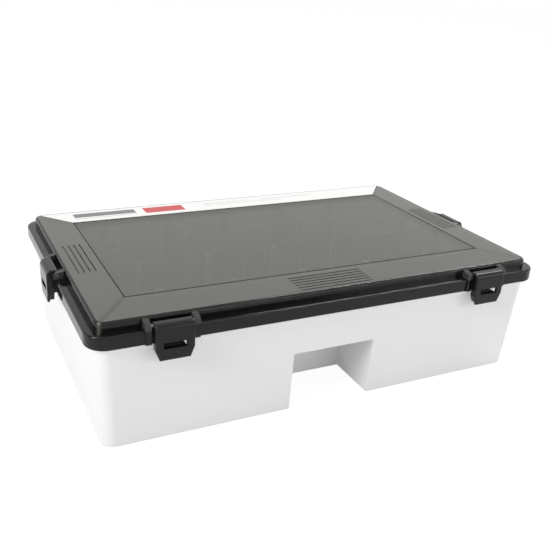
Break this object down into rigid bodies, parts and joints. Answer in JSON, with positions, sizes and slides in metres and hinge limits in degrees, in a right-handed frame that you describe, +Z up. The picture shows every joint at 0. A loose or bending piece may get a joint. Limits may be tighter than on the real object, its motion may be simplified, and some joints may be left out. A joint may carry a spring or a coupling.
{
  "type": "fishing tackle box",
  "caption": "Deep rectangular tackle box with a rear-hinged smoked lid, swinging latches on its front and ends, a lid seal, a front finger notch and slotted inner dividers.",
  "frame": {"origin": "centre of the underside of the tub", "axes": "+X along the long side, +Y from the notched front to the rear, +Z up"},
  "size_m": [0.371, 0.24, 0.0948],
  "materials": {
    "white_plastic": "satin moulded polypropylene, slightly translucent",
    "smoked_plastic": "smooth glossy smoked plastic",
    "black_plastic": "satin black moulded plastic",
    "divider_plastic": "milky moulded plastic",
    "seal_rubber": "soft matt rubber",
    "label_white": "printed film",
    "pin_steel": "drawn wire"
  },
  "bodies": {
    "tub": {"tub": "white_plastic", "hinge_pin_left": "pin_steel", "hinge_pin_right": "pin_steel", "cross_divider_front_far_left": "divider_plastic", "cross_divider_front_far_right": "divider_plastic", "cross_divider_front_left": "divider_plastic", "cross_divider_front_right": "divider_plastic", "cross_divider_mid_front_far_right": "divider_plastic", "cross_divider_mid_front_middle": "divider_plastic", "cross_divider_mid_rear_middle": "divider_plastic", "cross_divider_mid_rear_right": "divider_plastic", "cross_divider_rear_left": "divider_plastic", "cross_divider_rear_right": "divider_plastic", "long_divider_front": "divider_plastic", "long_divider_middle": "divider_plastic", "long_divider_rear": "divider_plastic"},
    "lid": {"lid": "smoked_plastic", "lid_seal": "seal_rubber", "label": "label_white", "latch_pin_front_left": "pin_steel", "latch_pin_front_right": "pin_steel", "latch_pin_left": "pin_steel", "latch_pin_right": "pin_steel"},
    "latch_front_left": {"latch_front_left": "black_plastic"},
    "latch_front_right": {"latch_front_right": "black_plastic"},
    "latch_left": {"latch_left": "black_plastic"},
    "latch_right": {"latch_right": "black_plastic"}
  },
  "joints": [
    {"name": "lid_hinge", "type": "hinge", "parent": "tub", "child": "lid", "pos_m": [0, 0.1175, 0.082], "axis": [-1, 0, 0], "range_deg": [0, 110]},
    {"name": "latch_front_left_hinge", "type": "hinge", "parent": "lid", "child": "latch_front_left", "pos_m": [-0.12603, -0.1133, 0.09], "axis": [-1, 0, 0], "range_deg": [0, 105]},
    {"name": "latch_front_right_hinge", "type": "hinge", "parent": "lid", "child": "latch_front_right", "pos_m": [0.12603, -0.1133, 0.09], "axis": [-1, 0, 0], "range_deg": [0, 105]},
    {"name": "latch_left_hinge", "type": "hinge", "parent": "lid", "child": "latch_left", "pos_m": [-0.1788, 0, 0.09], "axis": [0, 1, 0], "range_deg": [0, 105]},
    {"name": "latch_right_hinge", "type": "hinge", "parent": "lid", "child": "latch_right", "pos_m": [0.1788, 0, 0.09], "axis": [0, -1, 0], "range_deg": [0, 105]}
  ]
}
